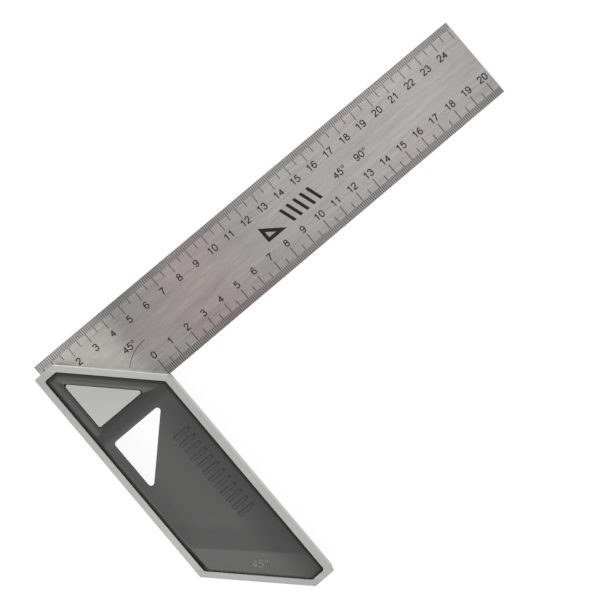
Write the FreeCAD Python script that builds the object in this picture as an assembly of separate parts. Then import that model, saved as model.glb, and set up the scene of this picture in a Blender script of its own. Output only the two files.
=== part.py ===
"""Try square with a 200 mm graduated blade and a cast stock with 45 degree ends.

Frame: +X runs along the blade towards its free end, +Y across the blade away
from the stock, +Z up through the thickness. The tool lies flat, with the rear
face of the stock on z = 0. The origin is the inner corner, where the inner
working face of the stock (X = 0) meets the lower edge of the blade (Y = 0).
Units are millimetres.
"""
import FreeCAD, Part
import math
import os

V = FreeCAD.Vector
os.makedirs("parts", exist_ok=True)

# ---------------------------------------------------------------- dimensions
# stock (cast frame)
STOCK_T = 19.0            # thickness
STOCK_W = 48.0            # inner working face to outer face
TIP_UP_Y = 37.0           # squared upper tip
HEEL_Y = -79.4            # outer corner of the lower mitre
TIP_LO_Y = -116.4         # squared lower tip
RIM_LEFT = 3.05           # rim widths seen from the front
RIM_RIGHT = 3.15
RIM_TOP = 3.34
RIM_BOTTOM = 2.80
RIM_TIP_LO = 3.2
RIM_TIP_UP = 3.5
OUT_CHAMFER = 0.5         # chamfer on the outer edges of both faces
OUT_R = 0.6               # small radius on the vertical corners
RECESS = 6.5              # depth of each insert recess
RECESS_R = 1.3
LEAD_IN = 0.1             # chamfer at the mouth of each recess

# blade
BLADE_X0 = -45.5
BLADE_X1 = 204.0
BLADE_W = 42.45
BLADE_T = 1.0
SLOT_CLEAR = 0.05         # clearance on each side of the blade in its slot
BLADE_CORNER_R = 0.35

# rivets through the web and the hidden root of the blade
RIVET_R = 1.5
RIVET_HOLE_R = 1.55
RIVET_HEAD_R = 2.4
RIVET_HEAD_H = 1.0
RIVETS = [(-33.5, 25.1), (-13.3, 4.95), (-42.4, 5.0)]

# plastic inserts, one in each recess
INS_GAP = 0.15            # gap to the rim
INS_BELOW = 0.8           # surface below the rim
INS_PLATE = 2.4           # plate thickness
INS_SKIRT = 1.2           # wall thickness of the skirt and the collars
INS_CHAMFER = 0.6
FACET_S = -108.6          # X + Y where the lower facet starts
FACET_DROP = 0.55         # how far the facet falls by its lower edge
PEG_R = 1.5
PEG_HOLE_R = 1.55
PEG_LEN = 2.2
PEG_BOSS_R = 3.0
PEGS = [(-37.5, -52.0), (-11.0, -50.0), (-12.5, -98.0)]

# metal pad that shows through the upper window
PAD_LEFT = -39.6
PAD_LOW = 1.45
PAD_S = -12.0             # X + Y of its long side
PAD_BELOW = 1.25          # below the insert's surface
PAD_R = 1.0
PAD_CHAMFER = 0.12
PAD_GAP = 0.15            # gap between the pad and the window at its foot

# hanging hole, wider at the rear
HOLE_LEFT = -39.05        # front edge
HOLE_TOP = -8.05
HOLE_D = 3.2              # Y - X of the long side
HOLE_R = 1.45
HOLE_FLARE = 2.25         # growth of every side from the front to the rear
HOLE_COLLAR = 1.2

# relief at the inner corner, around the blade's exit
RELIEF_R = 1.7
RELIEF_H = 5.6

MID = STOCK_T / 2.0


# ------------------------------------------------------------------- helpers
def line_poly(lines):
    """Vertices of a convex polygon from its lines (nx, ny, c): nx*x + ny*y = c."""
    pts = []
    n = len(lines)
    for i in range(n):
        a1, b1, c1 = lines[i]
        a2, b2, c2 = lines[(i + 1) % n]
        det = a1 * b2 - a2 * b1
        pts.append(((c1 * b2 - c2 * b1) / det, (a1 * c2 - a2 * c1) / det))
    return pts


def offset_lines(lines, d):
    """Move every line inwards by d; normals point outwards and are unit."""
    return [(a, b, c - d) for a, b, c in lines]


def rounded_wire(pts, r, z):
    """Closed wire of straight edges joined by tangent arcs of radius r."""
    n = len(pts)
    edges = []
    starts, ends, mids = [], [], []
    for i in range(n):
        p0, p1, p2 = pts[i - 1], pts[i], pts[(i + 1) % n]
        u = (p0[0] - p1[0], p0[1] - p1[1])
        w = (p2[0] - p1[0], p2[1] - p1[1])
        lu, lw = math.hypot(*u), math.hypot(*w)
        u = (u[0] / lu, u[1] / lu)
        w = (w[0] / lw, w[1] / lw)
        half = math.acos(max(-1.0, min(1.0, u[0] * w[0] + u[1] * w[1]))) / 2.0
        t = r / math.tan(half)
        b = (u[0] + w[0], u[1] + w[1])
        lb = math.hypot(*b)
        b = (b[0] / lb, b[1] / lb)
        cd = r / math.sin(half)
        c = (p1[0] + b[0] * cd, p1[1] + b[1] * cd)
        starts.append((p1[0] + u[0] * t, p1[1] + u[1] * t))
        ends.append((p1[0] + w[0] * t, p1[1] + w[1] * t))
        mids.append((c[0] - b[0] * r, c[1] - b[1] * r))
    for i in range(n):
        j = (i + 1) % n
        edges.append(Part.Arc(V(starts[i][0], starts[i][1], z),
                              V(mids[i][0], mids[i][1], z),
                              V(ends[i][0], ends[i][1], z)).toShape())
        edges.append(Part.LineSegment(V(ends[i][0], ends[i][1], z),
                                      V(starts[j][0], starts[j][1], z)).toShape())
    return Part.Wire(edges)


def prism(lines, r, z0, z1):
    face = Part.Face(rounded_wire(line_poly(lines), r, z0))
    return face.extrude(V(0, 0, z1 - z0))


def taper(lines0, r0, z0, lines1, r1, z1):
    w0 = rounded_wire(line_poly(lines0), r0, z0)
    w1 = rounded_wire(line_poly(lines1), r1, z1)
    return Part.makeLoft([w0, w1], True, True)


def cyl(x, y, r, z0, z1):
    return Part.makeCylinder(r, z1 - z0, V(x, y, z0), V(0, 0, 1))


S2 = math.sqrt(2.0)
H = 1.0 / S2

# ------------------------------------------------------------------- outline
# lines run counter-clockwise: inner face, upper mitre, upper tip, outer face,
# lower mitre, lower tip
OUTER = [
    (1.0, 0.0, 0.0),
    (H, H, 0.0),
    (0.0, 1.0, TIP_UP_Y),
    (-1.0, 0.0, STOCK_W),
    (-H, -H, (STOCK_W - HEEL_Y) * H),
    (0.0, -1.0, -TIP_LO_Y),
]
RIMS = [RIM_RIGHT, RIM_TOP, RIM_TIP_UP, RIM_LEFT, RIM_BOTTOM, RIM_TIP_LO]
INNER = [(a, b, c - rim) for (a, b, c), rim in zip(OUTER, RIMS)]

# triangular pad and window: left side, lower side, long side
PAD = [(H, H, PAD_S * H), (-1.0, 0.0, -PAD_LEFT), (0.0, -1.0, -PAD_LOW)]
# triangular hole: top side, left side, long side facing down to the right
HOLE = [(0.0, 1.0, HOLE_TOP), (-1.0, 0.0, -HOLE_LEFT), (H, -H, -HOLE_D * H)]


def hole_at(z, grow=0.0):
    """Lines of the hanging hole at height z, with every side moved out by grow."""
    d = HOLE_FLARE * (STOCK_T - INS_BELOW - z) / (STOCK_T - 2 * INS_BELOW)
    return offset_lines(HOLE, -(d + grow)), HOLE_R + max(0.0, d * 0.35) + grow * 0.6


def hole_solid(z0, z1, grow=0.0):
    l0, r0 = hole_at(z0, grow)
    l1, r1 = hole_at(z1, grow)
    return taper(l0, r0, z0, l1, r1, z1)


# --------------------------------------------------------------------- frame
def bevelled_body():
    c = OUT_CHAMFER
    ins = offset_lines(OUTER, c)
    r_in = max(0.2, OUT_R - c)
    low = taper(ins, r_in, 0.0, OUTER, OUT_R, c)
    mid = prism(OUTER, OUT_R, c, STOCK_T - c)
    top = taper(OUTER, OUT_R, STOCK_T - c, ins, r_in, STOCK_T)
    return low.fuse(mid).fuse(top).removeSplitter()


def make_frame():
    body = bevelled_body()
    top_floor = STOCK_T - RECESS
    low_floor = RECESS
    body = body.cut(prism(INNER, RECESS_R, top_floor, STOCK_T + 1))
    body = body.cut(prism(INNER, RECESS_R, -1, low_floor))
    # small lead-in chamfer at the mouth of each recess
    lead = LEAD_IN
    for zf, s in ((STOCK_T, -1), (0.0, 1)):
        l_wide = offset_lines(INNER, -lead - 0.01)
        z_a, z_b = (zf + s * (lead + 0.01), zf) if s < 0 else (zf, zf + s * (lead + 0.01))
        if s < 0:
            body = body.cut(taper(INNER, RECESS_R, z_a, l_wide, RECESS_R + lead, z_b))
        else:
            body = body.cut(taper(l_wide, RECESS_R + lead, z_a, INNER, RECESS_R, z_b))
    # metal pads that stand up inside both windows
    pad_top = STOCK_T - INS_BELOW - PAD_BELOW
    ch = PAD_CHAMFER
    pad_hi = prism(PAD, PAD_R, top_floor, pad_top - ch).fuse(
        taper(PAD, PAD_R, pad_top - ch, offset_lines(PAD, ch), PAD_R - ch, pad_top))
    body = body.fuse(pad_hi)
    pad_lo = prism(PAD, PAD_R, STOCK_T - pad_top + ch, low_floor).fuse(
        taper(offset_lines(PAD, ch), PAD_R - ch, STOCK_T - pad_top,
              PAD, PAD_R, STOCK_T - pad_top + ch))
    body = body.fuse(pad_lo)
    # hanging hole through the web, clear of the collars of the inserts
    body = body.cut(hole_solid(low_floor - 1, top_floor + 1, HOLE_COLLAR + 0.1))
    # slot for the blade, open along the upper mitre and at the upper tip
    slot_t = BLADE_T + 2 * SLOT_CLEAR
    slot = Part.makeBox(80, 60, slot_t, V(BLADE_X0, 0.0, MID - slot_t / 2))
    body = body.cut(slot)
    # relief at the inner corner
    body = body.cut(cyl(-0.2, -0.6, RELIEF_R, MID - RELIEF_H / 2, MID + RELIEF_H / 2))
    # rivet holes with countersinks in both floors
    for x, y in RIVETS:
        body = body.cut(cyl(x, y, RIVET_HOLE_R, low_floor - 0.5, top_floor + 0.5))
        body = body.cut(Part.makeCone(RIVET_HOLE_R, RIVET_HEAD_R + 0.05, RIVET_HEAD_H,
                                      V(x, y, top_floor - RIVET_HEAD_H), V(0, 0, 1)))
        body = body.cut(Part.makeCone(RIVET_HOLE_R, RIVET_HEAD_R + 0.05, RIVET_HEAD_H,
                                      V(x, y, low_floor + RIVET_HEAD_H), V(0, 0, -1)))
    # blind holes for the pegs of the inserts
    for x, y in PEGS:
        body = body.cut(cyl(x, y, PEG_HOLE_R, top_floor - PEG_LEN - 0.3, top_floor + 0.5))
        body = body.cut(cyl(x, y, PEG_HOLE_R, low_floor - 0.5, low_floor + PEG_LEN + 0.3))
    return body.removeSplitter()


# -------------------------------------------------------------------- insert
def make_insert(front):
    """Build in the front position; the rear insert is its mirror, with its own hole."""
    z_top = STOCK_T - INS_BELOW
    z_under = z_top - INS_PLATE
    z_floor = STOCK_T - RECESS
    outl = offset_lines(INNER, INS_GAP)
    r_out = RECESS_R - 0.3
    c = INS_CHAMFER
    plate = prism(outl, r_out, z_floor, z_top - c).fuse(
        taper(outl, r_out, z_top - c, offset_lines(outl, c), max(0.35, r_out - c), z_top))
    plate = plate.removeSplitter()
    # facet along the lower mitre edge
    s_edge = -(outl[4][2]) * S2
    run = (FACET_S - s_edge) * H
    ang = math.atan2(FACET_DROP, run)
    cutter = Part.makeBox(200, 60, 20, V(-100, -60, 0))
    cutter.rotate(V(0, 0, 0), V(1, 0, 0), math.degrees(ang))
    cutter.rotate(V(0, 0, 0), V(0, 0, 1), -45.0)
    cutter.translate(V(FACET_S / 2, FACET_S / 2, z_top))
    plate = plate.cut(cutter)
    # hollow underside between the skirt, the collars and the bosses
    win = offset_lines(PAD, -PAD_GAP)
    win_r = PAD_R + PAD_GAP
    core = prism(offset_lines(outl, INS_SKIRT), 0.6, z_floor - 1, z_under)
    core = core.cut(prism(offset_lines(win, -INS_SKIRT), win_r + INS_SKIRT * 0.7, z_floor - 2, z_under + 1))
    if front:
        collar = hole_solid(z_floor - 2, z_under + 1, HOLE_COLLAR)
    else:
        lo_a, r_a = hole_at(STOCK_T - (z_floor - 2), HOLE_COLLAR)
        lo_b, r_b = hole_at(STOCK_T - (z_under + 1), HOLE_COLLAR)
        collar = taper(lo_a, r_a, z_floor - 2, lo_b, r_b, z_under + 1)
    core = core.cut(collar)
    for x, y in PEGS:
        core = core.cut(cyl(x, y, PEG_BOSS_R, z_floor - 2, z_under + 1))
    plate = plate.cut(core)
    # window with a chamfered edge
    plate = plate.cut(prism(win, win_r, z_floor - 1, z_top + 1))
    wide = offset_lines(win, -c)
    plate = plate.cut(taper(win, win_r, z_top - c, offset_lines(win, -c - 0.02),
                            win_r + c, z_top + 0.02))
    # collar of the hanging hole down to the middle of the web, then the hole
    z_mid = MID + 0.05
    if front:
        tube = hole_solid(z_mid, z_under + 0.5, HOLE_COLLAR)
        bore = hole_solid(z_mid - 1, z_top + 1)
        l0, r0 = hole_at(z_top - 0.3)
        edge = taper(l0, r0, z_top - 0.3, offset_lines(l0, -0.32), r0 + 0.3, z_top + 0.02)
    else:
        l0, r0 = hole_at(STOCK_T - z_mid, HOLE_COLLAR)
        l1, r1 = hole_at(STOCK_T - (z_under + 0.5), HOLE_COLLAR)
        tube = taper(l0, r0, z_mid, l1, r1, z_under + 0.5)
        l0, r0 = hole_at(STOCK_T - (z_mid - 1))
        l1, r1 = hole_at(STOCK_T - (z_top + 1))
        bore = taper(l0, r0, z_mid - 1, l1, r1, z_top + 1)
        l0, r0 = hole_at(STOCK_T - (z_top - 0.3))
        edge = taper(l0, r0, z_top - 0.3, offset_lines(l0, -0.32), r0 + 0.3, z_top + 0.02)
    plate = plate.fuse(tube).cut(bore).cut(edge)
    # pegs
    for x, y in PEGS:
        peg = cyl(x, y, PEG_R, z_floor - PEG_LEN, z_floor + 0.5)
        plate = plate.fuse(peg)
    plate = plate.removeSplitter()
    if not front:
        plate = plate.mirror(V(0, 0, MID), V(0, 0, 1))
    return plate


# --------------------------------------------------------------------- blade
def make_blade():
    lines = [(1.0, 0.0, BLADE_X1), (0.0, 1.0, BLADE_W), (-1.0, 0.0, -BLADE_X0), (0.0, -1.0, 0.0)]
    z0 = MID - BLADE_T / 2
    e = 0.08
    inner = offset_lines(lines, e)
    b = taper(inner, BLADE_CORNER_R, z0, lines, BLADE_CORNER_R + e, z0 + e)
    b = b.fuse(prism(lines, BLADE_CORNER_R + e, z0 + e, z0 + BLADE_T - e))
    b = b.fuse(taper(lines, BLADE_CORNER_R + e, z0 + BLADE_T - e, inner, BLADE_CORNER_R,
                     z0 + BLADE_T))
    b = b.removeSplitter()
    for x, y in RIVETS:
        b = b.cut(cyl(x, y, RIVET_HOLE_R, z0 - 1, z0 + BLADE_T + 1))
    return b


def make_rivets():
    lo, hi = RECESS, STOCK_T - RECESS
    out = []
    for x, y in RIVETS:
        r = cyl(x, y, RIVET_R, lo, hi)
        r = r.fuse(Part.makeCone(RIVET_R, RIVET_HEAD_R, RIVET_HEAD_H,
                                 V(x, y, hi - RIVET_HEAD_H), V(0, 0, 1)))
        r = r.fuse(Part.makeCone(RIVET_R, RIVET_HEAD_R, RIVET_HEAD_H,
                                 V(x, y, lo + RIVET_HEAD_H), V(0, 0, -1)))
        out.append(r.removeSplitter())
    return Part.makeCompound(out)


parts = {
    "blade": make_blade(),
    "stock_frame": make_frame(),
    "front_insert": make_insert(True),
    "rear_insert": make_insert(False),
    "blade_rivets": make_rivets(),
}

for name, shape in parts.items():
    if shape.ShapeType == "Compound" and len(shape.Solids) == 1:
        shape = shape.Solids[0]
    bb = shape.optimalBoundingBox(True, False)
    print(f"{name:14s} valid={shape.isValid()} solids={len(shape.Solids)} "
          f"vol={shape.Volume:10.1f} faces={len(shape.Faces)} "
          f"X[{bb.XMin:.2f},{bb.XMax:.2f}] Y[{bb.YMin:.2f},{bb.YMax:.2f}] Z[{bb.ZMin:.2f},{bb.ZMax:.2f}]")
    shape.exportStep(f"parts/{name}.step")

names = list(parts)
for i in range(len(names)):
    for j in range(i + 1, len(names)):
        v = parts[names[i]].common(parts[names[j]]).Volume
        if v > 1e-3:
            print("overlap", names[i], names[j], round(v, 4))
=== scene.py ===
import math

import bmesh
import bpy
import numpy as np
from mathutils import Matrix, Vector
from mathutils.geometry import delaunay_2d_cdt


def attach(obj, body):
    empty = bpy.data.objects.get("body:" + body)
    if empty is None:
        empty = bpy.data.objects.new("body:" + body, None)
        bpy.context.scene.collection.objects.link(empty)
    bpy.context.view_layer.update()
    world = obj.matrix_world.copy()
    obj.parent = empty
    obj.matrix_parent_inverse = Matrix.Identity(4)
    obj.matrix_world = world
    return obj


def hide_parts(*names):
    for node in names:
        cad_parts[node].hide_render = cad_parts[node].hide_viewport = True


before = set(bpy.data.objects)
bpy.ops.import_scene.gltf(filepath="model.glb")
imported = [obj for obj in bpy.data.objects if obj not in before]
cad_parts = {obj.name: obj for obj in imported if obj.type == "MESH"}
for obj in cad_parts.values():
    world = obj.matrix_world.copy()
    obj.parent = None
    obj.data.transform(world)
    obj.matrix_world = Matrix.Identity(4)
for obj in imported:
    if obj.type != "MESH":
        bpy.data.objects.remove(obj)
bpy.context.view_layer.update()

MM = 0.001
S2 = math.sqrt(2.0)
H = 1.0 / S2

# ------------------------------------------------------------ CAD dimensions
# the same driving dimensions as the CAD, in millimetres
STOCK_T = 19.0
STOCK_W = 48.0
TIP_UP_Y = 37.0
HEEL_Y = -79.4
TIP_LO_Y = -116.4
RIMS = [3.15, 3.34, 3.5, 3.05, 2.80, 3.2]
RECESS = 6.5
INS_GAP = 0.15
INS_BELOW = 0.8
INS_PLATE = 2.4
INS_SKIRT = 1.2
FACET_S = -108.6
PEG_R = 1.5
PEG_LEN = 2.2
PEG_BOSS_R = 3.0
PEGS = [(-37.5, -52.0), (-11.0, -50.0), (-12.5, -98.0)]
PAD_GAP = 0.15
PAD_R = 1.0
HOLE_R = 1.45
HOLE_FLARE = 2.25
HOLE_COLLAR = 1.2
MID = STOCK_T / 2.0
BLADE_X0 = -45.5
BLADE_X1 = 204.0
BLADE_W = 42.45
BLADE_TOP = 10.0
BLADE_LOW = 9.0

OUTER = [
    (1.0, 0.0, 0.0),
    (H, H, 0.0),
    (0.0, 1.0, TIP_UP_Y),
    (-1.0, 0.0, STOCK_W),
    (-H, -H, (STOCK_W - HEEL_Y) * H),
    (0.0, -1.0, -TIP_LO_Y),
]
INNER = [(a, b, c - rim) for (a, b, c), rim in zip(OUTER, RIMS)]
PAD = [(H, H, -12.0 * H), (-1.0, 0.0, 39.6), (0.0, -1.0, -1.45)]
HOLE = [(0.0, 1.0, -8.05), (-1.0, 0.0, 39.05), (H, -H, -3.2 * H)]


# ---------------------------------------------------------------- 2-D shapes
def line_poly(lines):
    pts = []
    n = len(lines)
    for i in range(n):
        a1, b1, c1 = lines[i]
        a2, b2, c2 = lines[(i + 1) % n]
        det = a1 * b2 - a2 * b1
        pts.append(((c1 * b2 - c2 * b1) / det, (a1 * c2 - a2 * c1) / det))
    return pts


def offset_lines(lines, d):
    return [(a, b, c - d) for a, b, c in lines]


def side_counts(lines, seg):
    pts = line_poly(lines)
    n = len(pts)
    return [max(2, int(round(math.dist(pts[i], pts[(i + 1) % n]) / seg))) for i in range(n)]


def round_loop(lines, r, counts, arc=8):
    """Points along a convex outline with rounded corners, counter-clockwise."""
    pts = line_poly(lines)
    n = len(pts)
    corners = []
    for i in range(n):
        p0, p1, p2 = Vector(pts[i - 1]), Vector(pts[i]), Vector(pts[(i + 1) % n])
        u, w = (p0 - p1).normalized(), (p2 - p1).normalized()
        half = u.angle(w) / 2.0
        t = r / math.tan(half)
        c = p1 + (u + w).normalized() * (r / math.sin(half))
        s, e = p1 + u * t, p1 + w * t
        a0 = math.atan2(s.y - c.y, s.x - c.x)
        a1 = math.atan2(e.y - c.y, e.x - c.x)
        while a1 < a0:
            a1 += 2 * math.pi
        corners.append([(c.x + r * math.cos(a0 + (a1 - a0) * k / arc),
                         c.y + r * math.sin(a0 + (a1 - a0) * k / arc)) for k in range(arc + 1)])
    out = []
    for i in range(n):
        out += corners[i]
        a, b = corners[i][-1], corners[(i + 1) % n][0]
        m = counts[i]
        out += [(a[0] + (b[0] - a[0]) * k / m, a[1] + (b[1] - a[1]) * k / m) for k in range(1, m)]
    return out


def circle(cx, cy, r, n=40):
    return [(cx + r * math.cos(2 * math.pi * k / n), cy + r * math.sin(2 * math.pi * k / n))
            for k in range(n)]


def seg_dist(x, y, pts, closed=False):
    """Distance from every point to a polyline."""
    best = np.full(np.shape(x), 1e9)
    n = len(pts)
    for i in range(n if closed else n - 1):
        ax, ay = pts[i]
        bx, by = pts[(i + 1) % n]
        dx, dy = bx - ax, by - ay
        ll = dx * dx + dy * dy
        if ll < 1e-12:
            continue
        t = np.clip(((x - ax) * dx + (y - ay) * dy) / ll, 0.0, 1.0)
        best = np.minimum(best, np.hypot(x - ax - t * dx, y - ay - t * dy))
    return best


def inside_dist(x, y, lines, r):
    """Distance inwards from a rounded convex outline; negative outside it."""
    q = offset_lines(lines, r)
    m = np.max([a * x + b * y - c for a, b, c in q], axis=0)
    return np.where(m > 0, r - seg_dist(x, y, line_poly(q), True), r - m)


def in_poly(x, y, poly):
    hit = np.zeros(np.shape(x), bool)
    n = len(poly)
    for i in range(n):
        x0, y0 = poly[i]
        x1, y1 = poly[(i + 1) % n]
        if y0 == y1:
            continue
        cross = ((y0 > y) != (y1 > y)) & (x < (x1 - x0) * (y - y0) / (y1 - y0) + x0)
        hit ^= cross
    return hit


def triangulate(points, edges, keep):
    """Triangles over the points that respect the edges; keep(cx, cy) says which stay."""
    verts, _, faces, orig, _, _ = delaunay_2d_cdt(
        [Vector(p) for p in points], edges, [], 0, 1e-7, True)
    xy = [tuple(points[o[0]]) if o else (v.x, v.y) for v, o in zip(verts, orig)]
    arr = np.array(xy)
    tri = np.array([f[:3] for f in faces if len(f) == 3], int)
    c = arr[tri].mean(1)
    return xy, [tuple(t) for t in tri[keep(c[:, 0], c[:, 1])]]


def ring_edges(start, n):
    return [(start + k, start + (k + 1) % n) for k in range(n)]


def smooth(t):
    t = np.clip(t, 0.0, 1.0)
    return t * t * (3 - 2 * t)


# ------------------------------------------------------------- mesh building
class Build:
    def __init__(self, flip=False):
        self.v, self.key, self.f, self.flip = [], {}, [], flip

    def vert(self, x, y, z):
        k = (round(x, 5), round(y, 5), round(z, 5))
        i = self.key.get(k)
        if i is None:
            i = self.key[k] = len(self.v)
            self.v.append((x * MM, y * MM, (STOCK_T - z if self.flip else z) * MM))
        return i

    def face(self, pts):
        ids = []
        for p in pts:
            i = self.vert(*p)
            if i not in ids:
                ids.append(i)
        if len(ids) > 2:
            self.f.append(ids)

    def band(self, a, b):
        """Quads between two closed loops with the same number of points."""
        n = len(a)
        for i in range(n):
            j = (i + 1) % n
            self.face([a[i], a[j], b[j], b[i]])

    def flat(self, outer, holes, z):
        pts, edges = [], []
        for lp in [outer] + holes:
            edges += ring_edges(len(pts), len(lp))
            pts += lp

        def keep(cx, cy):
            k = in_poly(cx, cy, outer)
            for h in holes:
                k &= ~in_poly(cx, cy, h)
            return k
        xy, tris = triangulate(pts, edges, keep)
        for t in tris:
            self.face([(*xy[i], z) for i in t])

    def prism(self, xy, tris, z0, z1):
        """Closed prism over a set of triangles."""
        count = {}
        for t in tris:
            self.face([(*xy[i], z1) for i in t])
            self.face([(*xy[i], z0) for i in reversed(t)])
            for a, b in ((t[0], t[1]), (t[1], t[2]), (t[2], t[0])):
                count[(a, b)] = count.get((a, b), 0) + 1
        for a, b in count:
            if (b, a) not in count:
                self.face([(*xy[a], z0), (*xy[b], z0), (*xy[b], z1), (*xy[a], z1)])

    def make(self, name, material, angle=None):
        me = bpy.data.meshes.new(name)
        me.from_pydata(self.v, [], self.f)
        bm = bmesh.new()
        bm.from_mesh(me)
        bmesh.ops.recalc_face_normals(bm, faces=bm.faces)
        bm.to_mesh(me)
        bm.free()
        me.materials.append(material)
        if angle is not None:
            me.polygons.foreach_set("use_smooth", [True] * len(me.polygons))
            me.set_sharp_from_angle(angle=math.radians(angle))
        me.update()
        ob = bpy.data.objects.new(name, me)
        bpy.context.scene.collection.objects.link(ob)
        return ob


def at(loop, z):
    return [(x, y, z) for x, y in loop]


# ------------------------------------------------------------------ numerals
# centre lines of plain sans-serif numerals on a 1000 unit em; numeral height 716
def bend(points, n=9):
    """Smooth curve through the points."""
    p = [Vector(q) for q in points]
    p = [p[0] * 2 - p[1]] + p + [p[-1] * 2 - p[-2]]
    out = []
    for i in range(1, len(p) - 2):
        a, b, c, d = p[i - 1], p[i], p[i + 1], p[i + 2]
        for k in range(n):
            t = k / n
            q = (b * 2 + (c - a) * t + (a * 2 - b * 5 + c * 4 - d) * t * t
                 + (b * 3 - a - c * 3 + d) * t * t * t) * 0.5
            out.append((q.x, q.y))
    out.append((p[-2].x, p[-2].y))
    return out


def oval(cx, cy, a, b, n=40, e=2.15):
    out = []
    for k in range(n):
        t = 2 * math.pi * k / n
        c, s = math.cos(t), math.sin(t)
        out.append((cx + a * math.copysign(abs(c) ** (2 / e), c),
                    cy + b * math.copysign(abs(s) ** (2 / e), s)))
    return out


HW = 55.0
SIX = [("o", oval(283, 224, 185, 192)),
       ("-", bend([(455, 548), (405, 638), (288, 676), (170, 618), (104, 470), (92, 320), (99, 215)]))]
GLYPHS = {
    "0": [("o", oval(278, 353, 190, 321, e=2.3))],
    "1": [("-", [(329, 0), (329, 716)]), ("-", bend([(345, 690), (262, 610), (190, 565), (110, 533)]))],
    "2": [("-", bend([(82, 500), (122, 622), (278, 676), (424, 618), (457, 512), (405, 385), (262, 250),
                      (150, 150), (88, 52)])), ("-", [(50, 42), (503, 42)])],
    "3": [("-", bend([(84, 530), (135, 640), (262, 676), (392, 625), (424, 528), (375, 432), (290, 398),
                      (210, 392)])),
          ("-", bend([(230, 394), (320, 396), (425, 340), (467, 215), (408, 85), (266, 32), (130, 78),
                      (78, 192)]))],
    "4": [("-", [(368, 0), (368, 625)]), ("-", [(392, 640), (86, 208), (525, 208)])],
    "5": [("-", [(478, 674), (165, 674), (112, 350)]),
          ("-", bend([(112, 366), (185, 436), (276, 458), (405, 405), (467, 242), (405, 82), (264, 32),
                      (130, 76), (78, 188)]))],
    "6": SIX,
    "7": [("-", [(50, 674), (506, 674)]), ("-", bend([(478, 690), (348, 480), (246, 240), (204, 0)]))],
    "8": [("o", oval(278, 529, 155, 147)), ("o", oval(278, 214, 189, 184))],
    "9": [(k, [(556 - x, 708 - y) for x, y in p]) for k, p in SIX],
    "d": [("o", oval(185, 590, 118, 118, 28, 2.0))],
}
EM = 3.42 / 0.716 / 1000.0      # millimetres per unit


def ribbon(pts, closed, hw):
    """Outline of a stroke: (outer, [inner]) with mitred joints."""
    n = len(pts)
    left, right = [], []
    for i in range(n):
        p = Vector(pts[i])
        a = Vector(pts[i - 1]) if (closed or i) else None
        b = Vector(pts[(i + 1) % n]) if (closed or i < n - 1) else None
        d0 = (p - a).normalized() if a is not None else (b - p).normalized()
        d1 = (b - p).normalized() if b is not None else d0
        n0, n1 = Vector((-d0.y, d0.x)), Vector((-d1.y, d1.x))
        m = (n0 + n1)
        m = m / max(0.15, m.dot(n0)) * hw
        left.append((p.x + m.x, p.y + m.y))
        right.append((p.x - m.x, p.y - m.y))
    if closed:
        return right, [left]
    return right + left[::-1], []


def shape(polys):
    """Union of (outer, holes) outlines as triangles."""
    pts, edges = [], []
    for outer, holes in polys:
        for lp in [outer] + holes:
            edges += ring_edges(len(pts), len(lp))
            pts += lp

    def keep(cx, cy):
        k = np.zeros(cx.shape, bool)
        for outer, holes in polys:
            h = in_poly(cx, cy, outer)
            for q in holes:
                h &= ~in_poly(cx, cy, q)
            k |= h
        return k
    return triangulate(pts, edges, keep)


GLYPH_TRIS = {}
for _ch, _strokes in GLYPHS.items():
    _hw = 34.0 if _ch == "d" else HW
    GLYPH_TRIS[_ch] = shape([ribbon(p, k == "o", _hw) for k, p in _strokes])
ADVANCE = {ch: 556.0 for ch in GLYPHS}
ADVANCE["d"] = 370.0


def text_width(text, em=EM):
    return sum(ADVANCE[c] for c in text) * em


def put_text(b, text, x, y, z0, z1, em=EM, mirror=False):
    """Centred on x, baseline at y. mirror makes it read rightly from the rear."""
    pen = -text_width(text, em) / 2
    for ch in text:
        xy, tris = GLYPH_TRIS[ch]
        s = -1.0 if mirror else 1.0
        moved = [(x + s * (pen + u * em), y + v * em) for u, v in xy]
        if mirror:
            tris = [t[::-1] for t in tris]
        b.prism(moved, tris, z0, z1)
        pen += ADVANCE[ch] * em


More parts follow.
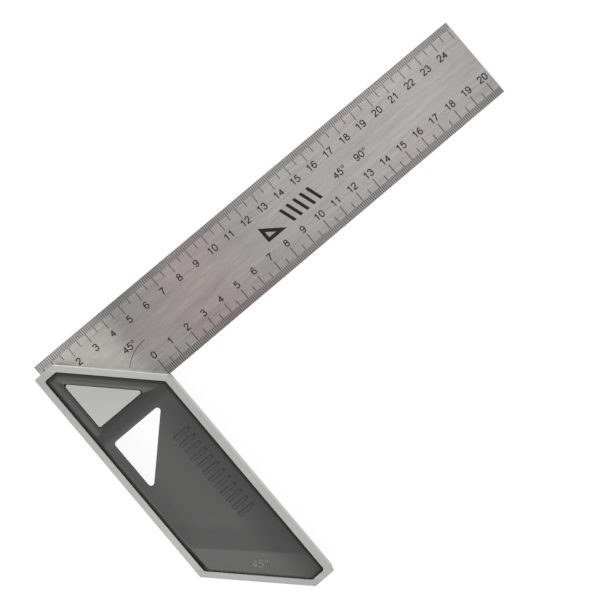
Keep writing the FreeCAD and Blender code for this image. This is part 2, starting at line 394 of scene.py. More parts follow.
# ------------------------------------------------------------------ materials
class Mat:
    """A small helper for node materials."""
    def __init__(self, name):
        self.m = bpy.data.materials.new(name)
        self.m.use_nodes = True
        self.nt = self.m.node_tree
        self.nt.nodes.clear()
        self.out = self.node("ShaderNodeOutputMaterial")
        self.bsdf = self.node("ShaderNodeBsdfPrincipled")
        self.join(self.bsdf.outputs[0], self.out.inputs[0])
        self.co = self.node("ShaderNodeTexCoord").outputs["Object"]

    def node(self, kind, **props):
        n = self.nt.nodes.new(kind)
        for k, v in props.items():
            setattr(n, k, v)
        return n

    def join(self, a, b):
        self.nt.links.new(a, b)

    def put(self, sock, v):
        if isinstance(v, bpy.types.NodeSocket):
            self.join(v, sock)
        else:
            sock.default_value = v

    def scaled(self, sx, sy, sz, rot=(0, 0, 0)):
        """Object coordinates in millimetres times a scale per axis."""
        mp = self.node("ShaderNodeMapping")
        mp.inputs["Scale"].default_value = (sx * 1000, sy * 1000, sz * 1000)
        mp.inputs["Rotation"].default_value = rot
        self.join(self.co, mp.inputs["Vector"])
        return mp.outputs[0]

    def noise(self, vec, scale=1.0, detail=2.0, rough=0.5, dist=0.0):
        n = self.node("ShaderNodeTexNoise")
        self.join(vec, n.inputs["Vector"])
        n.inputs["Scale"].default_value = scale
        n.inputs["Detail"].default_value = detail
        n.inputs["Roughness"].default_value = rough
        n.inputs["Distortion"].default_value = dist
        return n.outputs["Fac"]

    def span(self, v, a, b, c, d):
        n = self.node("ShaderNodeMapRange")
        n.inputs["From Min"].default_value = a
        n.inputs["From Max"].default_value = b
        n.inputs["To Min"].default_value = c
        n.inputs["To Max"].default_value = d
        self.join(v, n.inputs["Value"])
        return n.outputs[0]

    def math(self, op, a, b=0.0, clamp=False):
        n = self.node("ShaderNodeMath", operation=op, use_clamp=clamp)
        self.put(n.inputs[0], a)
        self.put(n.inputs[1], b)
        return n.outputs[0]

    def mix(self, fac, a, b, mode="MIX"):
        n = self.node("ShaderNodeMix", data_type="RGBA", blend_type=mode)
        self.put(n.inputs["Factor"], fac)
        self.put(n.inputs["A"], a)
        self.put(n.inputs["B"], b)
        return n.outputs["Result"]

    def ramp(self, fac, stops):
        n = self.node("ShaderNodeValToRGB")
        cr = n.color_ramp
        cr.interpolation = "B_SPLINE"
        cr.elements[0].position, cr.elements[0].color = stops[0][0], (*stops[0][1], 1)
        cr.elements[1].position, cr.elements[1].color = stops[-1][0], (*stops[-1][1], 1)
        for p, c in stops[1:-1]:
            e = cr.elements.new(p)
            e.color = (*c, 1)
        self.join(fac, n.inputs[0])
        return n.outputs[0]

    def axis(self, which):
        n = self.node("ShaderNodeSeparateXYZ")
        self.join(self.co, n.inputs[0])
        return n.outputs[which]

    def bump(self, height, distance, strength=1.0, normal=None):
        n = self.node("ShaderNodeBump")
        n.inputs["Strength"].default_value = strength
        n.inputs["Distance"].default_value = distance
        self.join(height, n.inputs["Height"])
        if normal is not None:
            self.join(normal, n.inputs["Normal"])
        return n.outputs[0]

    def set(self, **kw):
        for k, v in kw.items():
            self.put(self.bsdf.inputs[k.replace("_", " ")], v)


def lin(r, g, b):
    def f(c):
        c /= 255.0
        return c / 12.92 if c <= 0.04045 else ((c + 0.055) / 1.055) ** 2.4
    return (f(r), f(g), f(b))


# --- blade: steel brushed along its length
blade_mat = Mat("brushed_blade_steel")
m = blade_mat
# the steel's own tone along the blade, with painted reflection: the lighter and darker stretches along its length
# are painted where the lamps' reflections fall
steel_tone_and_painted_reflection = m.ramp(m.span(m.axis(0), -0.046, 0.204, 0.0, 1.0), [
    (0.000, (0.38, 0.37, 0.35)),
    (0.076, (0.36, 0.35, 0.33)),
    (0.120, (0.38, 0.36, 0.34)),
    (0.148, (0.36, 0.35, 0.33)),
    (0.172, (0.27, 0.25, 0.25)),
    (0.208, (0.32, 0.30, 0.30)),
    (0.256, (0.38, 0.35, 0.35)),
    (0.312, (0.47, 0.39, 0.39)),
    (0.376, (0.47, 0.41, 0.40)),
    (0.456, (0.43, 0.41, 0.41)),
    (0.584, (0.47, 0.45, 0.44)),
    (0.704, (0.47, 0.44, 0.43)),
    (0.808, (0.52, 0.48, 0.47)),
    (0.904, (0.56, 0.52, 0.50)),
    (1.000, (0.52, 0.51, 0.49)),
])
tint = m.ramp(m.noise(m.scaled(0.030, 0.060, 0.06), 1.0, 2.0, 0.5), [
    (0.30, (0.965, 1.000, 0.985)), (0.50, (1.0, 1.0, 1.0)), (0.70, (1.015, 0.985, 0.985))])
streak = m.noise(m.scaled(0.10, 4.6, 4.6), 1.0, 3.0, 0.6)
broad = m.noise(m.scaled(0.05, 0.75, 0.75), 1.0, 2.0, 0.5)
cloud = m.noise(m.scaled(0.07, 0.16, 0.16), 1.0, 2.0, 0.5)
mottle = m.noise(m.scaled(0.85, 1.7, 1.7), 1.0, 2.0, 0.6)
shade = m.math("ADD", m.math("ADD", m.math("ADD", m.span(streak, 0.25, 0.75, 0.80, 1.20),
                                           m.span(mottle, 0.25, 0.75, -0.06, 0.06)),
                             m.span(broad, 0.25, 0.75, -0.11, 0.11)),
               m.span(cloud, 0.3, 0.7, -0.03, 0.03))
# a little darker towards the lower edge
shade = m.math("MULTIPLY", shade, m.math("ADD", m.span(m.axis(1), 0.002, 0.014, 0.90, 1.0),
                                         m.span(m.axis(1), 0.028, 0.042, 0.0, 0.04)))
# painted light beside the stock's mitre end: the blade is painted brighter there to cancel the shadow the stock
# casts on it
_foot = m.math("ADD", m.axis(0), m.axis(1))
_painted_foot_light = m.math("ADD", m.span(_foot, 0.0002, 0.0017, 0.62, 0.0), m.span(_foot, 0.0004, 0.0048, 0.30, 0.0))
_painted_foot_light = m.math("MULTIPLY", _painted_foot_light, m.span(m.axis(1), 0.029, 0.036, 1.0, 0.0))
shade = m.math("MULTIPLY", shade, m.math("ADD", 1.0, _painted_foot_light))
col = m.mix(1.0, steel_tone_and_painted_reflection, tint, "MULTIPLY")
grey = m.node("ShaderNodeCombineColor")
for _i in range(3):
    m.join(shade, grey.inputs[_i])
col = m.mix(1.0, col, grey.outputs[0], "MULTIPLY")
rough = m.math("ADD", m.span(streak, 0.2, 0.8, 0.27, 0.37), m.span(cloud, 0.3, 0.7, -0.03, 0.03))
fine = m.noise(m.scaled(0.05, 11.0, 11.0), 1.0, 2.0, 0.6)
m.set(Base_Color=col, Metallic=1.0, Roughness=rough,
      Normal=m.bump(fine, 0.000004, 1.0, m.bump(streak, 0.000008, 1.0)))
m.bsdf.inputs["Anisotropic"].default_value = 0.72
_tan = m.node("ShaderNodeTangent", direction_type="RADIAL", axis="X")
m.join(_tan.outputs[0], m.bsdf.inputs["Tangent"])

# --- stock: light alloy, ground on its flats
stock_mat = Mat("ground_alloy")
m = stock_mat
grain = m.noise(m.scaled(3.2, 3.2, 3.2), 1.0, 3.0, 0.65)
soft = m.noise(m.scaled(0.09, 0.09, 0.09), 1.0, 3.0, 0.5)
lay = m.noise(m.scaled(7.0, 0.12, 7.0), 1.0, 2.0, 0.5)
v = m.math("ADD", m.math("ADD", m.span(grain, 0.25, 0.75, 0.965, 1.035),
                         m.span(soft, 0.3, 0.7, -0.02, 0.02)), m.span(lay, 0.25, 0.75, -0.012, 0.012))
# the flats are ground; the chamfers are painted brighter as a painted highlight, the walls a touch brighter, and
# the recessed pads are painted brighter against the shade of their recess
mid_z = m.math("ABSOLUTE", m.math("SUBTRACT", m.axis(2), 0.0095))
side = m.math("MULTIPLY", m.span(mid_z, 0.0088, 0.0090, 1.04, 1.20),
              m.span(mid_z, 0.00944, 0.00950, 1.0, 0.834))
pad = m.math("MULTIPLY", m.math("MULTIPLY", m.span(m.axis(0), -0.0402, -0.0400, 0.0, 1.0),
                                m.span(m.axis(1), 0.0010, 0.0012, 0.0, 1.0)),
             m.math("MULTIPLY", m.span(m.math("ADD", m.axis(0), m.axis(1)), -0.0116, -0.0114, 1.0, 0.0),
                    m.span(mid_z, 0.0072, 0.0074, 0.0, 1.0)))
side = m.math("MAXIMUM", side, m.math("MULTIPLY", pad, 1.10))
v = m.math("MULTIPLY", v, side)
# painted light: the walls that face the blade are painted brighter still, so the blade beside them reflects a
# bright wall
face = m.math("MAXIMUM", m.span(m.axis(0), -0.0003, -0.0001, 0.0, 0.06),
              m.span(m.math("ADD", m.axis(0), m.axis(1)), -0.0003, -0.0001, 0.0, 0.40))
v = m.math("MULTIPLY", v, m.math("ADD", 1.0, m.math("MULTIPLY", face, m.span(mid_z, 0.0088, 0.0090, 1.0, 0.0))))
v = m.math("MULTIPLY", v, m.span(m.axis(1), -0.112, -0.070, 0.955, 1.0))
# painted light and shade: the flat along the upper mitre is painted a little brighter, and the one along the
# lower mitre a little darker
diag = m.math("ADD", m.axis(0), m.axis(1))
corner = m.span(m.math("SUBTRACT", m.axis(1), m.math("MULTIPLY", m.axis(0), 0.42)), -0.0003, 0.0003, 0.0, 1.0)
flat = m.math("ADD", m.span(diag, -0.0056, -0.0050, 0.0, 0.10), m.span(diag, -0.0009, -0.0006, 0.0, 0.11))
v = m.math("MULTIPLY", v, m.math("ADD", 1.0, m.math("MULTIPLY", corner, flat)))
v = m.math("MULTIPLY", v, m.span(diag, -0.1232, -0.1227, 0.925, 1.0))
grey = m.node("ShaderNodeCombineColor")
for _i in range(3):
    m.join(v, grey.inputs[_i])
col = m.mix(1.0, (0.436, 0.436, 0.431, 1.0), grey.outputs[0], "MULTIPLY")
m.set(Base_Color=col, Metallic=1.0,
      Roughness=m.math("ADD", m.span(grain, 0.2, 0.8, 0.50, 0.60), m.span(soft, 0.3, 0.7, -0.03, 0.03)),
      Normal=m.bump(grain, 0.000012, 1.0, m.bump(lay, 0.000005, 1.0)))

# --- inserts: moulded satin plastic
plastic_mat = Mat("moulded_plastic")
m = plastic_mat
tex = m.noise(m.scaled(4.5, 4.5, 4.5), 1.0, 2.0, 0.6)
flow = m.noise(m.scaled(0.05, 0.03, 0.05), 1.0, 3.0, 0.5)
speck = m.noise(m.scaled(1.1, 1.1, 1.1), 1.0, 2.0, 0.5)
v = m.math("ADD", m.math("ADD", m.span(tex, 0.25, 0.75, 0.95, 1.05), m.span(flow, 0.3, 0.7, -0.04, 0.04)),
           m.span(speck, 0.3, 0.7, -0.02, 0.02))
# painted highlight: the edge along the lower mitre is painted lighter, against the shadow of the rim's wall there
v = m.math("MULTIPLY", v, m.span(m.math("ADD", m.axis(0), m.axis(1)), -0.1221, -0.1211, 2.7, 1.0))
grey = m.node("ShaderNodeCombineColor")
for _i in range(3):
    m.join(v, grey.inputs[_i])
col = m.mix(1.0, (0.036, 0.0356, 0.0353, 1.0), grey.outputs[0], "MULTIPLY")
m.set(Base_Color=col, Roughness=m.math("ADD", m.span(tex, 0.2, 0.8, 0.34, 0.44),
                                       m.span(flow, 0.3, 0.7, -0.03, 0.03)),
      Normal=m.bump(tex, 0.000020, 1.0))
m.bsdf.inputs["Specular IOR Level"].default_value = 0.74

# --- the same plastic painted lighter on the raised mark: a painted highlight on its strokes
mark_highlight_mat = Mat("plastic_painted_highlight")
m = mark_highlight_mat
tex = m.noise(m.scaled(3.0, 3.0, 3.0), 1.0, 2.0, 0.6)
col = m.ramp(tex, [(0.25, (0.145, 0.144, 0.143)), (0.75, (0.185, 0.184, 0.182))])
m.set(Base_Color=col, Roughness=m.span(tex, 0.2, 0.8, 0.40, 0.50), Normal=m.bump(tex, 0.000010, 1.0))
m.bsdf.inputs["Specular IOR Level"].default_value = 0.74

# --- dark etched marks
ink_mat = Mat("etched_black")
m = ink_mat
e = m.noise(m.scaled(2.6, 2.6, 2.6), 1.0, 3.0, 0.6)
col = m.ramp(e, [(0.25, (0.008, 0.008, 0.008)), (0.75, (0.022, 0.021, 0.020))])
m.set(Base_Color=col, Metallic=0.0, Roughness=m.span(e, 0.2, 0.8, 0.42, 0.60),
      Normal=m.bump(e, 0.000006, 1.0))
m.bsdf.inputs["Specular IOR Level"].default_value = 0.22

# --- rivets
rivet_mat = Mat("plain_rivet_steel")
m = rivet_mat
e = m.noise(m.scaled(2.0, 2.0, 2.0), 1.0, 3.0, 0.6)
col = m.ramp(e, [(0.25, (0.42, 0.41, 0.40)), (0.75, (0.52, 0.51, 0.50))])
m.set(Base_Color=col, Metallic=1.0, Roughness=m.span(e, 0.2, 0.8, 0.34, 0.48),
      Normal=m.bump(e, 0.000010, 1.0))

for node, mat in (("blade", blade_mat), ("stock_frame", stock_mat), ("blade_rivets", rivet_mat)):
    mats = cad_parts[node].data.materials
    if len(mats) == 0:
        mats.append(mat.m)
    for i in range(len(mats)):
        mats[i] = mat.m


# -------------------------------------------------------------- blade's marks
MARK_TOP = BLADE_TOP + 0.018
MARK_BED = BLADE_TOP - 0.006
REAR_TOP = BLADE_LOW - 0.018
REAR_BED = BLADE_LOW + 0.006
TICK_UP = 0.30
TICK_LOW = 0.36
UP_LEN = {1: 3.4, 5: 6.4, 10: 8.25}
LOW_LEN = {1: 3.4, 5: 6.2, 10: 8.5}


def box_mark(b, x, y0, y1, w, z0, z1):
    lo, hi = [(x - w / 2, y0), (x + w / 2, y0), (x + w / 2, y1), (x - w / 2, y1)], None
    a, c = min(z0, z1), max(z0, z1)
    p0, p1 = at(lo, a), at(lo, c)
    b.face(p0[::-1])
    b.face(p1)
    b.band(p0, p1)


def rule_marks(side):
    """Ticks and numerals of one face of the blade."""
    z0, z1 = (MARK_BED, MARK_TOP) if side == "front" else (REAR_TOP, REAR_BED)
    ticks, nums = Build(), Build()
    edge = 0.09
    for k in range(0, 252):
        x = -STOCK_W + k
        if x < BLADE_X0 + 0.4 or x > BLADE_X1 - 0.3:
            continue
        ln = UP_LEN[10] if k % 10 == 0 else UP_LEN[5] if k % 5 == 0 else UP_LEN[1]
        box_mark(ticks, x, BLADE_W - ln, BLADE_W - edge, TICK_UP, z0, z1)
    for k in range(0, 204):
        ln = LOW_LEN[10] if k % 10 == 0 else LOW_LEN[5] if k % 5 == 0 else LOW_LEN[1]
        box_mark(ticks, float(k), edge, ln, TICK_LOW, z0, z1)
    for n in range(2, 25):
        put_text(nums, str(n), -STOCK_W + 10.0 * n, 29.5, z0, z1, mirror=side == "rear")
    for n in range(0, 21):
        put_text(nums, str(n), 10.0 * n, 9.7, z0, z1, mirror=side == "rear")
    return ticks.make(f"{side}_graduations", ink_mat.m), nums.make(f"{side}_numerals", ink_mat.m)


def angle_marks(side):
    """45 degree mark with its arc, and the generic angle signs in the blade's middle."""
    z0, z1 = (MARK_BED, MARK_TOP) if side == "front" else (REAR_TOP, REAR_BED)
    rear = side == "rear"
    b = Build()
    put_text(b, "45d", -6.25, 19.72, z0, z1, mirror=rear)
    cx, cy, r, w = 1.0, 1.1, 18.4, 0.28
    a0, a1 = math.atan2(14.0 - cy, -12.25 - cx), math.atan2(19.6 - cy, 1.2 - cx)
    arc = [(cx + r * math.cos(a0 + (a1 - a0) * t / 48), cy + r * math.sin(a0 + (a1 - a0) * t / 48))
           for t in range(49)]
    outer, holes = ribbon(arc, False, w / 2)
    xy, tris = shape([(outer, holes)])
    b.prism(xy, tris, z0, z1)

    def put(polys, ox, oy):
        xy, tris = shape(polys)
        if rear:
            xy = [(ox - u, oy + v) for u, v in xy]
            tris = [t[::-1] for t in tris]
        else:
            xy = [(ox + u, oy + v) for u, v in xy]
        b.prism(xy, tris, z0, z1)

    # a plain set square, and plain slanting bars
    x0 = 74.0 if not rear else 108.0
    d = 1.0 if not rear else -1.0
    t = 1.7
    tri = [(0, 0), (11.0, 0), (0, 8.2)]
    hyp = math.hypot(11.0, 8.2)
    k = t * (11.0 + 8.2 + hyp) / (11.0 * 8.2)
    hole = [(t, t), (t + 11.0 * (1 - k), t), (t, t + 8.2 * (1 - k))]
    put([(tri, [hole])], x0, 16.9)
    for i in range(5):
        put([([(2.6, 0), (4.2, 0), (1.6, 8.2), (0, 8.2)], [])], x0 + d * (12.8 + 4.0 * i), 16.9)
    put_text(b, "45d", 120.2, 19.1, z0, z1, mirror=rear)
    put_text(b, "90d", 133.0, 19.1, z0, z1, mirror=rear)
    return b.make(f"{side}_angle_marks", ink_mat.m)


marks = []
for side in ("front", "rear"):
    marks += list(rule_marks(side))
    marks.append(angle_marks(side))
for o in marks:
    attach(o, "root")


# -------------------------------------------------------------------- inserts
Z_TOP = STOCK_T - INS_BELOW
Z_UNDER = Z_TOP - INS_PLATE - 0.9
Z_FLOOR = STOCK_T - RECESS
OUTL = offset_lines(INNER, INS_GAP)
OUT_CORNER = 1.0
WIN = offset_lines(PAD, -PAD_GAP - 0.09)
WIN_R = PAD_R - 0.12
WIN_CH = 1.25           # width of the window's chamfer
SLOPE = 0.19
DISH = 0.40
# the outline without its lower mitre and lower tip, whose edges are sharp
SIDES = [(a, b, c + (9.0 if i in (4, 5) else 0.0)) for i, (a, b, c) in enumerate(OUTL)]

# crease of the facet along the lower mitre, nearly parallel to that edge
CREASE = ((-41.8, -67.7), (-5.9, -101.8))
_cd = (Vector(CREASE[1]) - Vector(CREASE[0])).normalized()
CREASE_N = (_cd.y, -_cd.x)      # points away from the panel, down to the mitre edge
if CREASE_N[0] + CREASE_N[1] > 0:
    CREASE_N = (-CREASE_N[0], -CREASE_N[1])
FACET_TAN = 0.14

# raised plain grip bars, one column near the right edge
BARS = [((-16.6, y), (-9.6, y - 0.0)) for y in (-24.5 - 4.1 * k for k in range(12))]
BAR_HW = 0.95
BAR_H = 0.40

# raised angle mark on the facet
MARK_C = (-23.6, -92.3)
MARK_DIR = (0.745, -0.667)
MARK_EM = EM * 1.06
MARK_HW = 0.23
MARK_H = 0.30


def facet_text(rear):
    """Strokes of the raised mark in the plane of the insert."""
    dx, dy = MARK_DIR
    ux, uy = -dy, dx
    pen = -text_width("45d", MARK_EM) / 2
    out = []
    for ch in "45d":
        for kind, pts in GLYPHS[ch]:
            line = []
            for u, v in pts:
                a = pen + u * MARK_EM
                if rear:
                    a = -a
                c = (v - 358) * MARK_EM
                line.append((MARK_C[0] + a * dx + c * ux, MARK_C[1] + a * dy + c * uy))
            out.append((line, kind == "o"))
        pen += ADVANCE[ch] * MARK_EM
    return out


def roll(d, w, k):
    t = np.clip(w - d, 0.0, w)
    return k * t * t / (2 * w)


def fillet(d, r):
    t = np.clip(r - d, 0.0, r)
    return r - np.sqrt(np.maximum(0.0, r * r - t * t))


class Insert:
    def __init__(self, front):
        self.front = front
        zb = Z_TOP - 0.3
        self.hole_lines, self.hole_r = self.hole(zb)

    def hole(self, z, grow=0.0):
        zz = z if self.front else STOCK_T - z
        d = HOLE_FLARE * (STOCK_T - INS_BELOW - zz) / (STOCK_T - 2 * INS_BELOW)
        return offset_lines(HOLE, -(d + grow)), HOLE_R + max(0.0, d * 0.35) + grow * 0.6

    def height(self, x, y):
        x, y = np.asarray(x, float), np.asarray(y, float)
        d_out = inside_dist(x, y, OUTL, OUT_CORNER)
        d_win = -inside_dist(x, y, WIN, WIN_R)
        d_hole = -inside_dist(x, y, self.hole_lines, self.hole_r)
        z = np.full(x.shape, Z_TOP)
        # the field round the window lies lower than the panel: a plane slope with a
        # rounded start and an abrupt end
        t = np.clip(y + 7.2, 0.0, 2.6)
        z -= SLOPE * (t * t / 5.2 + np.clip(y + 4.6, 0.0, 3.75))
        # gentle fall towards the right side and a little towards the left
        z -= roll(-3.3 - x, 16.7, 0.22) * (1.0 - 0.30 * smooth((y + 24.0) / 20.0))
        t = np.clip((-33.0 - x) / 11.8, 0.0, 1.0)
        z += 0.80 * t ** 1.7 * smooth((y + 72.0) / 16.0) * smooth((-6.0 - y) / 12.0)
        # shallow dish that comes up again at the crease
        along = -(CREASE_N[0] * (x - CREASE[0][0]) + CREASE_N[1] * (y - CREASE[0][1]))
        z -= DISH * smooth(along / 11.0) * smooth((-8.0 - y) / 16.0)
        z += 0.10 * np.clip((4.0 - along) / 4.0, 0.0, 1.0) ** 2
        # facet
        z -= FACET_TAN * np.maximum(0.0, -along)
        # bars
        bars = np.full(x.shape, 1e9)
        for a, c in BARS:
            bars = np.minimum(bars, seg_dist(x, y, [a, c]))
        z += BAR_H * smooth((BAR_HW - bars) / 0.42)
        # edges
        d_side = inside_dist(x, y, SIDES, OUT_CORNER)
        left = smooth((-40.0 - x) / 2.0)
        upper = left * smooth((y + 6.0) / 6.0)
        wide = np.where(x + y > -12.0, 1.5, 1.25) + 0.45 * left + 0.35 * upper
        z -= (0.66 + 0.42 * left - 0.44 * upper) * np.clip((wide - d_side) / wide, 0.0, 1.0) ** 1.2
        low = (OUTL[4][2] - (-H * x - H * y))
        z -= np.where(low < 1.0, fillet(d_out, 0.08), fillet(d_out, 0.2))
        # bevels of the window: long side, left side, and the wider lower side
        fall = np.full(x.shape, 1e9)
        for (a, c, k), width, drop in zip(WIN, (1.25, 1.25, 2.15), (0.38, 0.30, 0.85)):
            fall = np.minimum(fall, drop * np.maximum(0.0, 1.0 - (a * x + c * y - k) / width))
        z -= np.where(fall < 1e8, fall, 0.0)
        z -= fillet(d_hole, 0.3)
        return z

    def build(self):
        b = Build(flip=not self.front)
        name = "front_trim_insert" if self.front else "rear_trim_insert"
        oc = side_counts(OUTL, 0.7)
        wc = side_counts(WIN, 0.6)
        hc = side_counts(self.hole_lines, 0.6)
        pts, edges, loops = [], [], {}

        def ring(key, lines, r, counts, arc=8):
            lp = round_loop(lines, r, counts, arc)
            loops[key] = lp
            edges.extend(ring_edges(len(pts), len(lp)))
            pts.extend(lp)

        for d in (0.0, 0.012, 0.045, 0.10, 0.18, 0.28, 0.40, 0.56, 0.78, 1.05, 1.4, 1.7):
            ring(("out", d), offset_lines(OUTL, d), max(0.2, OUT_CORNER - d * 0.7), oc)
        for d in (0.0, 0.4, 0.8, 1.14, 1.25, 1.36):
            ring(("win", d), offset_lines(WIN, -d), WIN_R + d, wc)
        for d in (0.0, 0.02, 0.075, 0.16, 0.3, 0.45, 0.7):
            ring(("hole", d), offset_lines(self.hole_lines, -d), self.hole_r + d, hc)
        # crease
        c0, c1 = Vector(CREASE[0]), Vector(CREASE[1])
        u = (c1 - c0).normalized()
        c0, c1 = c0 - u * 1.0, c1 + u * 0.6
        n = 80
        start = len(pts)
        crease = [tuple(c0.lerp(c1, k / n)) for k in range(n + 1)]
        pts.extend(crease)
        edges.extend((start + k, start + k + 1) for k in range(n))
        # lines along the slope beside the window
        for yy in (-0.85, -4.6, -7.2):
            start = len(pts)
            line = [(-42.6 + 37.2 * k / 60, yy) for k in range(61)]
            pts.extend(line)
            edges.extend((start + k, start + k + 1) for k in range(60))
        # bars
        for a, c in BARS:
            for t in (1.0, 0.85, 0.70, 0.55, 0.42):
                r = BAR_HW * t
                cap = [(c[0] + r * math.cos(q), c[1] + r * math.sin(q))
                       for q in (math.pi * (k / 12 - 0.5) for k in range(13))]
                cap2 = [(a[0] + r * math.cos(q), a[1] + r * math.sin(q))
                        for q in (math.pi * (k / 12 + 0.5) for k in range(13))]
                m1 = [(cap[-1][0] + (cap2[0][0] - cap[-1][0]) * k / 10, cap[-1][1]) for k in range(1, 10)]
                m2 = [(cap2[-1][0] + (cap[0][0] - cap2[-1][0]) * k / 10, cap2[-1][1]) for k in range(1, 10)]
                lp = cap + m1 + cap2 + m2
                edges.extend(ring_edges(len(pts), len(lp)))
                pts.extend(lp)
        # field
        gx, gy = np.meshgrid(np.arange(-44.6, -3.4, 0.62), np.arange(-113.4, 33.6, 0.62))
        gx, gy = gx.ravel(), gy.ravel()
        gx = gx + 0.11 * np.sin(gy * 7.3)
        keep = (inside_dist(gx, gy, OUTL, OUT_CORNER) > 1.95)
        keep &= (-inside_dist(gx, gy, WIN, WIN_R) > 1.6)
        keep &= (-inside_dist(gx, gy, self.hole_lines, self.hole_r) > 0.95)
        keep &= seg_dist(gx, gy, crease) > 0.3
        for a, c in BARS:
            keep &= seg_dist(gx, gy, [a, c]) > BAR_HW + 0.18
        pts.extend(zip(gx[keep].tolist(), gy[keep].tolist()))

        o_lp, w_lp, h_lp = loops[("out", 0.0)], loops[("win", 0.0)], loops[("hole", 0.0)]

        def inside(cx, cy):
            return in_poly(cx, cy, o_lp) & ~in_poly(cx, cy, w_lp) & ~in_poly(cx, cy, h_lp)
        xy, tris = triangulate(pts, edges, inside)
        arr = np.array(xy)
        zz = self.height(arr[:, 0], arr[:, 1])
        for t in tris:
            b.face([(*xy[i], float(zz[i])) for i in t])

        def crown(lp):
            a = np.array(lp)
            return [(x, y, float(z)) for (x, y), z in zip(lp, self.height(a[:, 0], a[:, 1]))]
        # walls and hollow underside
        skirt = round_loop(offset_lines(OUTL, INS_SKIRT), 0.6, oc)
        b.band(crown(o_lp), at(o_lp, Z_FLOOR))
        b.band(at(o_lp, Z_FLOOR), at(skirt, Z_FLOOR))
        b.band(at(skirt, Z_FLOOR), at(skirt, Z_UNDER))
        w_col = round_loop(offset_lines(WIN, -INS_SKIRT), WIN_R + INS_SKIRT * 0.7, wc)
        b.band(crown(w_lp), at(w_lp, Z_FLOOR))
        b.band(at(w_lp, Z_FLOOR), at(w_col, Z_FLOOR))
        b.band(at(w_col, Z_FLOOR), at(w_col, Z_UNDER))
        z_mid = MID + 0.05
        low = round_loop(*self.hole(z_mid), hc)
        low_o = round_loop(*self.hole(z_mid, HOLE_COLLAR), hc)
        und_o = round_loop(*self.hole(Z_UNDER, HOLE_COLLAR), hc)
        b.band(crown(h_lp), at(low, z_mid))
        b.band(at(low, z_mid), at(low_o, z_mid))
        b.band(at(low_o, z_mid), at(und_o, Z_UNDER))
        bosses = []
        for px, py in PEGS:
            big, small = circle(px, py, PEG_BOSS_R), circle(px, py, PEG_R)
            tip = circle(px, py, PEG_R - 0.3)
            bosses.append(big)
            b.band(at(big, Z_UNDER), at(big, Z_FLOOR))
            b.band(at(big, Z_FLOOR), at(small, Z_FLOOR))
            b.band(at(small, Z_FLOOR), at(small, Z_FLOOR - PEG_LEN + 0.3))
            b.band(at(small, Z_FLOOR - PEG_LEN + 0.3), at(tip, Z_FLOOR - PEG_LEN))
            b.face(at(tip, Z_FLOOR - PEG_LEN))
        b.flat(skirt, [w_col, und_o] + bosses, Z_UNDER)
        return b.make(name, plastic_mat.m, angle=38)

    def mark(self):
        """Raised angle mark, a closed thin solid that follows the facet."""
        b = Build(flip=not self.front)
        xy, tris = shape([ribbon(line, closed, MARK_HW if not closed else 0.17)
                          for line, closed in facet_text(not self.front)])
        arr = np.array(xy)
        zz = self.height(arr[:, 0], arr[:, 1])
        top = [(*q, float(z) + MARK_H) for q, z in zip(xy, zz)]
        bed = [(*q, float(z) - 0.10) for q, z in zip(xy, zz)]
        count = set()
        for t in tris:
            b.face([top[i] for i in t])
            b.face([bed[i] for i in reversed(t)])
            count.update(((t[0], t[1]), (t[1], t[2]), (t[2], t[0])))
        for i, j in sorted(count):
            if (j, i) not in count:
                b.face([bed[i], bed[j], top[j], top[i]])
        return b.make("front_facet_mark" if self.front else "rear_facet_mark", mark_highlight_mat.m)


for front, node in ((True, "front_insert"), (False, "rear_insert")):
    ins = Insert(front)
    ob = ins.build()
    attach(ob, "root")
    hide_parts(node)
    ob = ins.mark()
    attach(ob, "root")


# ----------------------------------------------------------- floor and lights
floor_me = bpy.data.meshes.new("floor")
floor_me.from_pydata([(-6, -6, -0.0003), (6, -6, -0.0003), (6, 6, -0.0003), (-6, 6, -0.0003)], [], [(0, 1, 2, 3)])
floor = bpy.data.objects.new("floor", floor_me)
bpy.context.scene.collection.objects.link(floor)
floor_mat = Mat("pale_floor")
m = floor_mat
fl = m.noise(m.scaled(0.01, 0.01, 0.01), 1.0, 2.0, 0.5)
m.set(Base_Color=m.ramp(fl, [(0.3, (0.105, 0.105, 0.105)), (0.7, (0.115, 0.115, 0.115))]), Roughness=0.9)
m.bsdf.inputs["Specular IOR Level"].default_value = 0.0
m.bsdf.inputs["Emission Color"].default_value = (1, 1, 1, 1)
m.bsdf.inputs["Emission Strength"].default_value = 0.93
floor_me.materials.append(floor_mat.m)

world = bpy.data.worlds.new("studio")
bpy.context.scene.world = world
world.use_nodes = True
_nt = world.node_tree
_bg = _nt.nodes["Background"]
_tc = _nt.nodes.new("ShaderNodeTexCoord")
_sx = _nt.nodes.new("ShaderNodeSeparateXYZ")
_nt.links.new(_tc.outputs["Generated"], _sx.inputs[0])
_rp = _nt.nodes.new("ShaderNodeValToRGB")
_rp.color_ramp.interpolation = "EASE"
_rp.color_ramp.elements[0].position, _rp.color_ramp.elements[0].color = 0.18, (1.05, 1.05, 1.045, 1)
_rp.color_ramp.elements[1].position, _rp.color_ramp.elements[1].color = 0.62, (0.42, 0.42, 0.418, 1)
_nt.links.new(_sx.outputs[2], _rp.inputs[0])
_nt.links.new(_rp.outputs[0], _bg.inputs[0])
_bg.inputs[1].default_value = 1.0


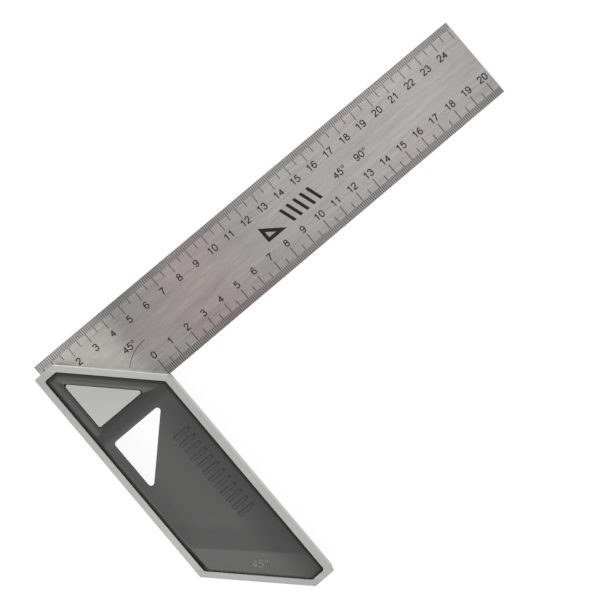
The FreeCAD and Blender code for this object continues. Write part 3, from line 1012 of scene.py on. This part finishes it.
def softbox(name, x0, x1, y0, y1, z, radiance, color=(1, 1, 1)):
    """Horizontal rectangular light, facing down."""
    li = bpy.data.lights.new(name, "AREA")
    li.shape = "RECTANGLE"
    li.size = x1 - x0
    li.size_y = y1 - y0
    li.energy = radiance * math.pi * (x1 - x0) * (y1 - y0)
    li.color = color
    ob = bpy.data.objects.new(name, li)
    bpy.context.scene.collection.objects.link(ob)
    ob.location = ((x0 + x1) / 2, (y0 + y1) / 2, z)
    return ob


softbox("key", -1.10, -0.10, -0.95, 0.20, 1.25, 2.2, (1.0, 0.995, 0.985))
def panel(name, centre, target, w, h, radiance, color=(1, 1, 1)):
    """Upright rectangular light at centre, facing target."""
    li = bpy.data.lights.new(name, "AREA")
    li.shape = "RECTANGLE"
    li.size, li.size_y = w, h
    li.energy = radiance * math.pi * w * h
    li.color = color
    ob = bpy.data.objects.new(name, li)
    bpy.context.scene.collection.objects.link(ob)
    ob.location = centre
    ob.rotation_euler = (Vector(target) - Vector(centre)).to_track_quat("-Z", "Y").to_euler()
    return ob


panel("low", (1.3, 1.5, 0.28), (0.0, 0.0, 0.02), 1.5, 0.46, 1.9)
softbox("key_far", -1.05, -0.26, -0.92, -0.34, 1.24, 0.36, (1.0, 0.995, 0.985))
softbox("side", 0.10, 0.60, -0.6, 0.6, 1.35, 0.62, (0.985, 0.99, 1.0))

# --------------------------------------------------------------------- camera
cam_data = bpy.data.cameras.new("camera")
cam_data.sensor_width = 36.0
cam_data.lens = 81.8636
cam_data.clip_start = 0.01
cam_data.clip_end = 60.0
cam = bpy.data.objects.new("camera", cam_data)
bpy.context.scene.collection.objects.link(cam)
CX = Vector((0.7626768721, -0.6460518861, 0.0306748957))
CY = Vector((0.6448749661, 0.7632122592, 0.0405379522))
CZ = Vector((-0.0496010769, -0.0111358862, 0.9987070267))
loc = Vector((0.0364679, -0.0198023, 0.6401978))
cam.matrix_world = Matrix(((CX.x, CY.x, CZ.x, loc.x), (CX.y, CY.y, CZ.y, loc.y),
                           (CX.z, CY.z, CZ.z, loc.z), (0, 0, 0, 1)))
bpy.context.scene.camera = cam
bpy.context.scene.view_settings.view_transform = "Standard"
